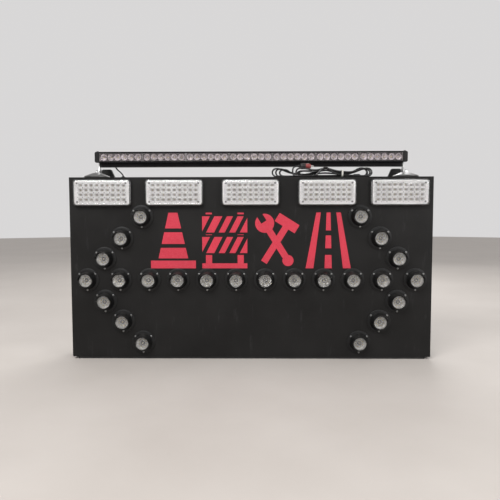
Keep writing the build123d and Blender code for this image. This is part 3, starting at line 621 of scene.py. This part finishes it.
lead_route = [(-500, 7, 708), (-499.4, 7, 695.8), (-472, 7, 674), (-470, 7, 666)]
lead_curve = spline_of("lead_line", lead_route, LEAD_THICK)
lead_line = line_of(lead_curve)
bpy.data.objects.remove(lead_curve)
lead = Shape()
loops = []
side = Vector((0, 1, 0))
for i, point in enumerate(lead_line):
    ahead = lead_line[min(i + 1, len(lead_line) - 1)] - lead_line[max(i - 1, 0)]
    other = ahead.normalized().cross(side)
    loops.append([
        point + (side * math.cos(a) + other * math.sin(a)) * (LEAD_THICK / 2) for a in circle(20)
    ])
lead.loft(loops)
lead_mesh = bpy.data.meshes.new("bar_cord")
lead_mesh.from_pydata(lead.points, [], lead.faces)
lead_mesh.materials.append(cable_skin)
lead_mesh.shade_smooth()
lead_piece = bpy.data.objects.new("bar_cord", lead_mesh)
bpy.context.collection.objects.link(lead_piece)
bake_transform(lead_piece)
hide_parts("bar_lead")


# ---------------------------------------------------------------- fasteners

def ring_at(centre, out, points, far):
    u, v, w = axes(out)
    c = Vector(centre) + w * far
    return [c + u * a + v * b for a, b in points]


def hexagon(radius, count=24):
    """count points round a hexagon, each in the direction of the same point of a circle."""
    points = []
    for a in circle(count):
        away = (a + math.pi / 6) % (math.pi / 3) - math.pi / 6
        r = radius * math.cos(math.pi / 6) / math.cos(away)
        points.append((r * math.cos(a), r * math.sin(a)))
    return points


def pan_head(shape, seat, out, radius, high, kind=0):
    """Domed screw head with a hexagon socket."""
    dome = [(1.0, 0), (1.0, 0.3), (0.95, 0.62), (0.8, 0.88), (0.58, 1.0)]     # parts of radius, high
    loops = [ring_at(seat, out, round_ring(radius * r, 24), high * f) for r, f in dome]
    socket = hexagon(0.5 * radius)
    loops += [ring_at(seat, out, socket, high * f) for f in (0.99, 0.35)]
    shape.loft(loops, kind)


def hex_nut(shape, base, out, radius, high, bore, kind=0):
    """Hexagon nut with chamfered corners and a countersunk bore."""
    flat = 0.87 * radius
    loops = [
        ring_at(base, out, round_ring(bore, 24), 0),
        ring_at(base, out, round_ring(flat, 24), 0),
        ring_at(base, out, hexagon(radius), 0.14 * high),
        ring_at(base, out, hexagon(radius), 0.86 * high),
        ring_at(base, out, round_ring(flat, 24), high),
        ring_at(base, out, round_ring(1.15 * bore, 24), high),
        ring_at(base, out, round_ring(bore, 24), 0.9 * high),
        ring_at(base, out, round_ring(bore, 24), 0),
    ]
    shape.loft(loops, kind, start=False, end=False)


def centred(box, y):
    """The point at the middle of a box in X and Z, at y."""
    centre = middle(box)
    return Vector((centre.x, y, centre.z))


for node, name, head_high in (
    ("lamp_screws", "lamp_screw_heads", 0.0022), ("strobe_screws", "strobe_screw_heads", 0.002),
):
    heads = Shape()
    for low, high in islands(node):
        pan_head(heads, centred((low, high), low.y + head_high), FRONT, (high.x - low.x) / 2, head_high)
    heads.build(name, [bright_screw], "cabinet", [node], slot="stainless")

cover_heads = Shape()
for low, high in islands("rear_cover_screws"):
    radius = (high.x - low.x) / 2
    head_high = 0.6 * radius
    pan_head(cover_heads, centred((low, high), high.y - head_high), REAR, radius, head_high)
cover_heads.build("cover_screw_heads", [stainless], "cabinet", ["rear_cover_screws"], slot="stainless")


# ---------------------------------------------------------------- lamps

# Profiles of the lamps and the next sections: (radius, distance outwards) in millimetres.
HOOD_START, HOOD_SPAN, HOOD_STEPS = -12.5, 205, 48      # degrees round the barrel, and divisions
HOOD_LEAST, HOOD_GROWS = 26.5, 13.5                     # its reach at the ends, and more on top
LED_SEAT, LED_RING = 11.7, 13                           # distance of the LEDs, and their ring


def hood(shape, centre):
    """Shell over the barrel's upper side; its rim slopes back to the barrel at both ends."""
    loops = []
    for i in range(HOOD_STEPS + 1):
        a = math.radians(HOOD_START + HOOD_SPAN * i / HOOD_STEPS)
        rise = 27 * math.sin(a)
        t = min(max((rise + 6) / 17, 0), 1)
        reach = HOOD_LEAST + HOOD_GROWS * (t * t * (3 - 2 * t) * 0.45 + t * 0.55)
        section = [(24.4, 25), (24.9, reach - 1.2), (25.3, reach - 0.3), (26.1, reach)]
        section += [(26.9, reach - 0.3), (27.2, reach - 1.2), (27.8, 25)]
        loops.append([
            centre + Vector((r * math.cos(a), -far, r * math.sin(a))) / 1000 for r, far in section
        ])
    shape.loft(loops)


barrel = [
    (0.0, 10.6), (23.0, 10.6), (23.0, 28.4), (23.5, 29.0), (26.2, 29.0), (27.0, 28.2),
    (27.9, 24.0), (30.6, 9.0), (31.8, 4.4), (33.2, 3.1), (40.6, 3.0), (41.7, 2.4),
    (42.0, 1.2), (42.0, 0.0), (23.0, 0.0), (23.0, 10.0), (0.0, 10.0),
]
cup = [
    (0.0, 11.8), (16.6, 11.8), (18.6, 13.0), (20.6, 17.0), (22.2, 24.5), (22.5, 24.5), (22.5, 11.0),
    (0.0, 11.0),
]
glass = [
    (0.0, 30.2), (7.0, 30.12), (14.0, 29.9), (20.0, 29.6), (22.1, 29.2), (22.7, 28.4), (22.7, 17.2),
    (21.4, 17.2), (21.4, 26.4), (20.6, 27.0), (14.0, 27.3), (0.0, 27.6),
]
bead = [(0.0, 0.0), (2.5, 0.0), (2.5, 3.6), (2.35, 4.5), (1.8, 5.4), (1.0, 5.9), (0.0, 6.0)]
chip = [(0.0, 0.1), (1.5, 0.1), (1.5, 2.6), (0.0, 2.6)]
collar = [(3.0, 0.0), (4.9, 2.3), (5.2, 2.3), (5.2, 0.0), (3.0, 0.0)]
washer = [(3.4, 0.0), (3.3, 0.6), (2.7, 0.6), (2.6, 0.0), (3.4, 0.0)]


def scaled(profile, by=0.001):
    return [(r * by, far * by) for r, far in profile]


led_spots = [(0.0, 0.0)]
for a in circle(8):
    led_spots.append((LED_RING * math.cos(a + math.pi / 8), LED_RING * math.sin(a + math.pi / 8)))

boards = Shape()
CUP, DOME, CHIP, DARK = range(4)
for part in ("left_head", "shaft", "right_head"):
    housings, lenses = Shape(), Shape()
    for box in islands(f"{part}_lamp_housings"):
        centre = centred(box, box[1].y)
        housings.lathe(centre, FRONT, scaled(barrel), 64)
        hood(housings, centre)
        lenses.lathe(centre, FRONT, scaled(glass), 56)
        boards.lathe(centre, FRONT, scaled(cup), 48, CUP)
        for dx, dz in led_spots:
            spot = centre + Vector((dx, -LED_SEAT, dz)) / 1000
            boards.lathe(spot, FRONT, scaled(bead), 16, DOME)
            boards.lathe(spot, FRONT, scaled(chip), 10, CHIP)
            boards.lathe(spot, FRONT, scaled(collar), 20, CUP if dx or dz else DARK)
            boards.lathe(spot, FRONT, scaled(washer), 20, DARK)
    housings.build(
        f"{part}_lamps", [lamp_plastic], "cabinet", [f"{part}_lamp_housings"], slot="lamp_plastic")
    lenses.build(
        f"{part}_lenses", [lamp_glass], "cabinet", [f"{part}_lamp_lenses"], slot="lamp_lens")
boards.build(
    "lamp_leds", [lamp_cup, led_dome, led_chip, bar_dark], "cabinet", ["lamp_led_boards"],
    slot="led_board")


# ---------------------------------------------------------------- strobes

COLUMNS, ROWS = 9, 4                    # LED cells of one strobe
CELL_DEEP = 0.0085
CELL_RIDGE = (0.0014, 0.0048)           # ridges between the cups, across and up
FIELD_SHY = (0.030, 0.0235)             # how much smaller the field of cells is than the cover
FACE_BACK = 0.0105                      # from the cover's back to the face of the cells
strobe_bead = [(1.7, 0), (1.7, 0.9), (1.2, 1.5), (0, 1.7)]
cup_steps = ((0.86, 0.22), (0.7, 0.48), (0.52, 0.72), (0.34, 0.9), (0.24, 0.96))    # width, depth


def shell_of(shape, centre, back, width, height):
    """Clear cover: a rounded block with a raised lip, hollow behind."""
    def step(inset, far, corner):
        ring = rounded(width - 2 * inset / 1000, height - 2 * inset / 1000, corner)
        return fronted(ring, centre, back - far / 1000)

    edge = [(0, 0), (0, 11.5), (0.7, 14.4), (2.0, 15.9), (4.0, 16.5)]
    face = [(6.0, 16.5), (6.6, 16.1), (9.0, 16.1)]
    loops = [step(inset, far, 0.011 - inset / 2000) for inset, far in edge]
    loops += [step(inset, far, 0.006) for inset, far in face]
    shape.loft(loops, start=False)
    inside = [(2.5, 0), (2.5, 10.5), (3.6, 13.2), (6.0, 14.0)]
    shape.loft([step(inset, far, 0.008 - inset / 2000) for inset, far in inside], start=False)
    shape.loft([step(0, 0, 0.011), step(2.5, 0, 0.00675)], start=False, end=False)


def reflector_cells(shape, centre, face, width, height):
    """Rows of square-mouthed cups, joined by ridges, with an LED in each."""
    plate, cup, led = range(3)
    step_x, step_z = width / COLUMNS, height / ROWS
    mouth_x, mouth_z = step_x - CELL_RIDGE[0], step_z - CELL_RIDGE[1]
    small = min(mouth_x, mouth_z)
    for i in range(COLUMNS):
        for j in range(ROWS):
            x = centre[0] + (i - (COLUMNS - 1) / 2) * step_x
            z = centre[1] + (j - (ROWS - 1) / 2) * step_z
            loops = [
                fronted(square_ring(step_x, step_z, 24), (x, z), face),
                fronted(square_ring(mouth_x, mouth_z, 24), (x, z), face),
            ]
            shape.loft(loops, plate, start=False, end=False)
            bowl = [loops[-1]]
            for f, t in cup_steps:
                square = square_ring(mouth_x * f, mouth_z * f, 24)
                disc = round_ring(small * f / 2, 24)
                blend = min(1.0, (1 - f) * 1.6)
                ring = [(a * (1 - blend) + c * blend, b * (1 - blend) + d * blend)
                        for (a, b), (c, d) in zip(square, disc)]
                bowl.append(fronted(ring, (x, z), face + CELL_DEEP * t))
            shape.loft(bowl, cup, start=False)
            spot = Vector((x, face + CELL_DEEP * cup_steps[-1][1], z))
            shape.lathe(spot, FRONT, scaled(strobe_bead), 12, led)


plates, bases = Shape(), Shape()
for number in range(1, 6):
    low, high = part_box(f"strobe_lens_{number}")
    centre = ((low.x + high.x) / 2, (low.z + high.z) / 2)
    width, height, back = high.x - low.x, high.z - low.z, high.y
    cover = Shape()
    shell_of(cover, centre, back, width, height)
    cover.build(
        f"strobe_cover_{number}", [strobe_glass], "cabinet", [f"strobe_lens_{number}"],
        slot="strobe_lens")
    field_x, field_z = width - FIELD_SHY[0], height - FIELD_SHY[1]
    face = back - FACE_BACK
    reflector_cells(plates, centre, face, field_x, field_z)
    rim = []
    for grow, far in ((0, 0), (0.002, 0.0012), (0.010, 0.0016), (0.0225, 0.0009)):
        ring = rounded(field_x + grow, field_z + min(grow, 0.0165), 0.0004 + grow * 0.42)
        rim.append(fronted(ring, centre, face - far))
    rim.append(fronted(rounded(field_x + 0.0235, field_z + 0.0170, 0.0098), centre, back - 0.0002))
    plates.loft(rim, start=False, end=False)
    low, high = islands("strobe_bases")[number - 1]
    wide, tall = high.x - low.x, high.z - low.z
    loops = []
    for inset, far in [(0, 0), (0, 1.9), (0.3, 2.6), (0.9, 3.0), (1.5, 3.0)]:
        ring = rounded(wide - 2 * inset / 1000, tall - 2 * inset / 1000, 0.0125 - inset / 2000)
        loops.append(fronted(ring, centre, high.y - far / 1000))
    bases.loft(loops)
plates.build(
    "strobe_reflectors", [strobe_white, strobe_cup, led_chip], "cabinet", ["strobe_led_boards"],
    slot="led_board")
bases.build("strobe_gaskets", [rubber], "cabinet", ["strobe_bases"], slot="rubber")


# ---------------------------------------------------------------- light bar

MODULE_CUPS = 6
DIVIDER = 0.0018            # thickness of the plate at each end of a module
MODULE_SHY = 0.0054         # how much shorter the row of cups is than its module
CUP_MOUTH, CUP_FLOOR = 0.0118, 0.0032
CUP_POINTS, CUP_RINGS = 40, 8
bar_bead = [(2.3, 0), (2.3, 0.8), (1.9, 1.6), (1.1, 2.2), (0, 2.4)]

modules = Shape()
BOWL, PLATE, LED, RAIL = range(4)
for low, high in islands("bar_reflectors"):
    face, back = low.y, high.y
    z, tall = (low.z + high.z) / 2, high.z - low.z
    x0, x1 = low.x, high.x
    pitch = (x1 - x0 - MODULE_SHY) / MODULE_CUPS
    for i in range(MODULE_CUPS):
        x = (x0 + x1) / 2 + (i - (MODULE_CUPS - 1) / 2) * pitch
        left = x0 + DIVIDER if i == 0 else x - pitch / 2
        right = x1 - DIVIDER if i == MODULE_CUPS - 1 else x + pitch / 2
        plate = []
        for a in circle(CUP_POINTS):
            c, s = math.cos(a), math.sin(a)
            side = (right - x) if c > 0 else (x - left)
            reach = min(side / max(abs(c), 1e-9), tall / 2 / max(abs(s), 1e-9))
            plate.append((c * reach, s * reach))
        mouth = fronted(round_ring(CUP_MOUTH, CUP_POINTS), (x, z), face + 0.0003)
        lip = fronted(round_ring(CUP_MOUTH + 0.0004, CUP_POINTS), (x, z), face + 0.0006)
        flat = fronted(plate, (x, z), face + 0.0006)
        modules.loft([flat, lip, mouth], PLATE, start=False, end=False)
        bowl = [mouth]
        for step in range(1, CUP_RINGS + 1):
            t = step / CUP_RINGS
            r = CUP_FLOOR + (CUP_MOUTH - CUP_FLOOR) * math.sqrt(1 - t)
            y = face + 0.0003 + (back - face - 0.001) * t
            bowl.append(fronted(round_ring(r, CUP_POINTS), (x, z), y))
        modules.loft(bowl, BOWL, start=False)
        modules.lathe(Vector((x, back - 0.0007, z)), FRONT, scaled(bar_bead), 16, LED)
    for edge in (x0, x1 - DIVIDER):
        rail = [(edge, face), (edge + DIVIDER, face), (edge + DIVIDER, back), (edge, back)]
        modules.loft([[(a, b, z + half * tall) for a, b in rail] for half in (-0.5, 0.5)], RAIL)
modules.build(
    "bar_cups", [bar_cup, bar_dark, led_chip, divider_plastic], "light_bar", ["bar_reflectors"],
    slot="reflector")

caps = Shape()
for low, high in islands("bar_cap_screws"):
    centre = middle((low, high))
    seat = Vector((centre.x, centre.y, high.z - 0.0028))
    pan_head(caps, seat, UP, (high.x - low.x) / 2, 0.0027)
caps.build("bar_cap_heads", [dark_screw], "light_bar", ["bar_cap_screws"], slot="stainless")

pivot_washer = [(0, -1.2), (7.5, -1.2), (7.5, -0.1), (7.2, 0.0), (0, 0)]
pivot_shank = [(0, -8.0), (4.0, -8.0), (4.0, -1.2), (0, -1.2)]
pivots = Shape()
for low, high in islands("pivot_bolts"):
    side = 1 if middle((low, high)).x > 0 else -1
    outer = high.x if side > 0 else low.x
    centre = middle((low, high))
    seat = Vector((outer - side * 0.004, centre.y, centre.z))
    out = (side, 0, 0)
    pivots.lathe(seat, out, scaled(pivot_washer), 32)
    pan_head(pivots, seat, out, 0.0065, 0.004)
    pivots.lathe(seat, out, scaled(pivot_shank), 24)
pivots.build("pivot_bolt_heads", [stainless], "light_bar", ["pivot_bolts"], slot="stainless")


# ---------------------------------------------------------------- stands

magnet_dome = [
    (0, 0.4), (44.6, 0.4), (45.4, 0.7), (46, 1.5), (46, 3.6), (45.4, 4.4), (44.2, 5.0),
    (30, 10.9), (20, 14.9), (17.6, 15.8), (16.6, 16.0), (0, 16.0),
]
magnet_pad = [(0, 0), (44.4, 0), (45, 0.6), (45, 2.2), (44.8, 2.9), (44.4, 3.0), (0, 3.0)]
STUD_RADIUS, THREAD_ROOT, THREAD_PITCH = 4.0, 3.45, 1.1     # millimetres
THREAD_START = 19.0
NUT_BORE, WASHER_BORE, WASHER_MOST = 0.0041, 0.0042, 0.003


def foot_of(box):
    """The middle of a box's underside."""
    centre = middle(box)
    return Vector((centre.x, centre.y, box[0].z))


cups, pads = Shape(), Shape()
for low, high in islands("magnet_bases"):
    foot = foot_of((low, high))
    cups.lathe(foot, UP, scaled(magnet_dome), 72)
    tall = (high.z - low.z) * 1000
    stud = [(0, 15.9), (STUD_RADIUS, 15.9)]
    far = THREAD_START
    while far < tall - 1.2:
        stud += [(STUD_RADIUS, far), (THREAD_ROOT, far + 0.5), (STUD_RADIUS, far + 1.0)]
        far += THREAD_PITCH
    stud += [(3.6, tall - 0.6), (3.2, tall), (0, tall)]
    cups.lathe(foot, UP, scaled(stud), 28)
for box in islands("magnet_pads"):
    pads.lathe(foot_of(box), UP, scaled(magnet_pad), 72)
cups.build("magnet_cups", [magnet_steel], "cabinet", ["magnet_bases"], slot="magnet_steel")
pads.build("magnet_rubbers", [rubber], "cabinet", ["magnet_pads"], slot="rubber")

nuts = Shape()
for low, high in islands("bracket_nuts"):
    base = foot_of((low, high))
    tall, radius = high.z - low.z, (high.x - low.x) / 2
    if tall < WASHER_MOST:
        profile = [(WASHER_BORE, 0), (radius, 0), (radius, tall * 0.8), (radius - 0.0003, tall)]
        profile += [(WASHER_BORE, tall), (WASHER_BORE, 0)]
        nuts.lathe(base, UP, profile, 32)
    else:
        hex_nut(nuts, base, UP, max(radius, (high.y - low.y) / 2), tall, NUT_BORE)
nuts.build("stud_nuts", [zinc], "cabinet", ["bracket_nuts"], slot="zinc_steel")


def folded_bracket(name, side):
    """Pressed leg and foot from one sheet, with a bend radius and rounded edges."""
    sheet, bend, soft = 0.004, 0.0045, 0.0004
    foot_half, leg_half = 0.016, 0.0075
    bend_steps, head_steps = 6, 8
    low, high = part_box(name)
    inner = low.x if side > 0 else high.x
    reach = high.x - low.x
    y, base = (low.y + high.y) / 2, low.z
    rise = high.z - leg_half - base
    # The sheet's line from the foot's tip, round the bend and up: along, up and half the width.
    outline = [
        (reach, 0.0, foot_half - 0.005), (reach - 0.0015, 0.0, foot_half - 0.0015),
        (reach - 0.005, 0.0, foot_half), (bend + 0.002, 0.0, foot_half),
    ]
    for i in range(bend_steps, -1, -1):
        a = math.pi / 2 * i / bend_steps
        outline.append((bend * (1 - math.cos(a)), bend * (1 - math.sin(a)), foot_half))
    shoulder, neck = 0.013, rise - 0.0322
    outline += [(0, shoulder, foot_half), (0, shoulder + 0.002, foot_half - 0.0004)]
    outline += [(0, neck - 0.002, leg_half + 0.0004), (0, neck, leg_half), (0, rise, leg_half)]
    for i in range(1, head_steps + 1):
        a = math.pi / 2 * i / head_steps
        outline.append((0, rise + leg_half * math.sin(a), max(leg_half * math.cos(a), 0.0003)))
    loops = []
    for index, (dx, dz, half) in enumerate(outline):
        ahead = outline[min(index + 1, len(outline) - 1)]
        behind = outline[max(index - 1, 0)]
        tx, tz = ahead[0] - behind[0], ahead[1] - behind[1]
        size = math.hypot(tx, tz)
        nx, nz = -tz / size, tx / size
        if nx < 0 or (abs(nx) < 1e-6 and nz < 0):
            nx, nz = -nx, -nz
        ring = [
            (-half, soft), (-half + soft, 0), (half - soft, 0), (half, soft),
            (half, sheet - soft), (half - soft, sheet), (-half + soft, sheet), (-half, sheet - soft),
        ]
        loops.append([
            (inner + side * (dx + nx * t), y + across, base + dz + nz * t) for across, t in ring
        ])
    shape = Shape()
    shape.loft(loops)
    shape.build(f"{name}_sheet", [zinc], "cabinet", [name], slot="zinc_steel")


folded_bracket("bracket_right", 1)
folded_bracket("bracket_left", -1)


# ---------------------------------------------------------------- plug and tie

def left_face(box):
    """The middle of a box's left face."""
    low, high = box
    return Vector((low.x, (low.y + high.y) / 2, (low.z + high.z) / 2))


RIGHT = (1, 0, 0)
grip = [(0, 0), (3.4, 0), (4.1, 0.5), (4.2, 1.4)]
for i in range(4):                                          # rings of the strain relief
    far, grow = 1.6 + i * 1.5, 0.25 * i
    grip += [(4.2 + grow, far), (3.7 + grow, far + 0.3)]
    grip += [(3.7 + grow, far + 0.8), (4.3 + grow, far + 1.1)]
grip += [(5.6, 8), (8.6, 9.4), (10.4, 11.2), (11.3, 13.6), (11.5, 16.0)]
for i in range(5):                                          # ribs of the body
    far = 17.0 + i * 1.7
    grip += [(11.5, far), (11.0, far + 0.35), (11.0, far + 0.85), (11.5, far + 1.2)]
grip += [(11.5, 26.2), (11.1, 27.4), (10.4, 28.0), (0, 28.0)]
body = Shape()
body.lathe(left_face(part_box("plug_body")), RIGHT, scaled(grip), 48)
plug_grip = body.build("plug_grip", [plug_plastic], "cabinet", ["plug_body"], slot="plug_plastic")

low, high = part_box("plug_tip")
long = (high.x - low.x) * 1000
pin = [(0, 0), (3.2, 0), (3.2, long - 6.4), (2.9, long - 6.1), (2.9, long - 5.4)]
pin += [(3.2, long - 5.1), (3.15, long - 2.6), (2.6, long - 1.2), (1.7, long - 0.35)]
pin += [(0.8, long), (0, long)]
tip = Shape()
tip.lathe(left_face((low, high)), RIGHT, scaled(pin), 32)
plug_pin_tip = tip.build("plug_pin_tip", [plated], "plug_pin", ["plug_tip"], slot="plated")

TIE_THICK, TIE_SOFT, TIE_POWER = 0.0013, 0.0003, 0.42       # a low power squares the loop
low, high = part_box("cable_tie")
wide, deep, tall = high.x - low.x, high.y - low.y, high.z - low.z
centre = middle((low, high))
loops = []
for a in circle(64):
    c, s = math.cos(a), math.sin(a)
    across = math.copysign(abs(c) ** TIE_POWER, c)
    up = math.copysign(abs(s) ** TIE_POWER, s)
    out_y, out_z = across * deep / 2, up * tall / 2
    in_y, in_z = across * (deep / 2 - TIE_THICK), up * (tall / 2 - TIE_THICK)
    mid_y, mid_z = (out_y + in_y) / 2, (out_z + in_z) / 2
    twist = 0.0004 * math.sin(3 * a)
    section = [
        (-wide / 2 + TIE_SOFT, out_y, out_z), (-wide / 2, mid_y, mid_z),
        (-wide / 2 + TIE_SOFT, in_y, in_z), (wide / 2 - TIE_SOFT, in_y, in_z),
        (wide / 2, mid_y, mid_z), (wide / 2 - TIE_SOFT, out_y, out_z),
    ]
    loops.append([(centre.x + dx + twist, centre.y + dy, centre.z + dz) for dx, dy, dz in section])
loops.append(loops[0])
tie = Shape()
tie.loft(loops, start=False, end=False)
hank_tie = tie.build("hank_tie", [tie_plastic], "cabinet", ["cable_tie"], slot="tie")


# ---------------------------------------------------------------- finishes of the CAD nodes

finishes = {
    "front_panel": panel_paint, "top_wall": wall_paint, "bottom_wall": wall_paint,
    "side_wall_left": wall_paint, "side_wall_right": wall_paint, "rear_cover": wall_paint,
    "foot_strips": rubber, "mount_rail_left": zinc, "mount_rail_right": zinc,
    "rail_backing_bars": zinc, "rail_bolts": zinc, "controller_case": case_plastic,
    "controller_lid": case_plastic, "controller_board": green_board, "wiring_loom": cable_skin,
    "symbol_cone": red_sheet, "symbol_barrier": red_sheet, "symbol_tools": red_sheet,
    "symbol_road": red_sheet, "bar_housing": anodised, "bar_lens": bar_glass,
    "bar_led_board": green_board, "bar_end_cap_left": cap_paint, "bar_end_cap_right": cap_paint,
    "rest_blocks": rubber, "supply_gland": plug_plastic, "plug_ring": plug_red,
    "plug_contacts": plated, "bar_lead_gland": plug_plastic,
}
for node, finish in finishes.items():
    mesh = cad[node].data
    if not mesh.materials:
        mesh.materials.append(finish)
    for slot in cad[node].material_slots:
        slot.link = "OBJECT"
        slot.material = finish
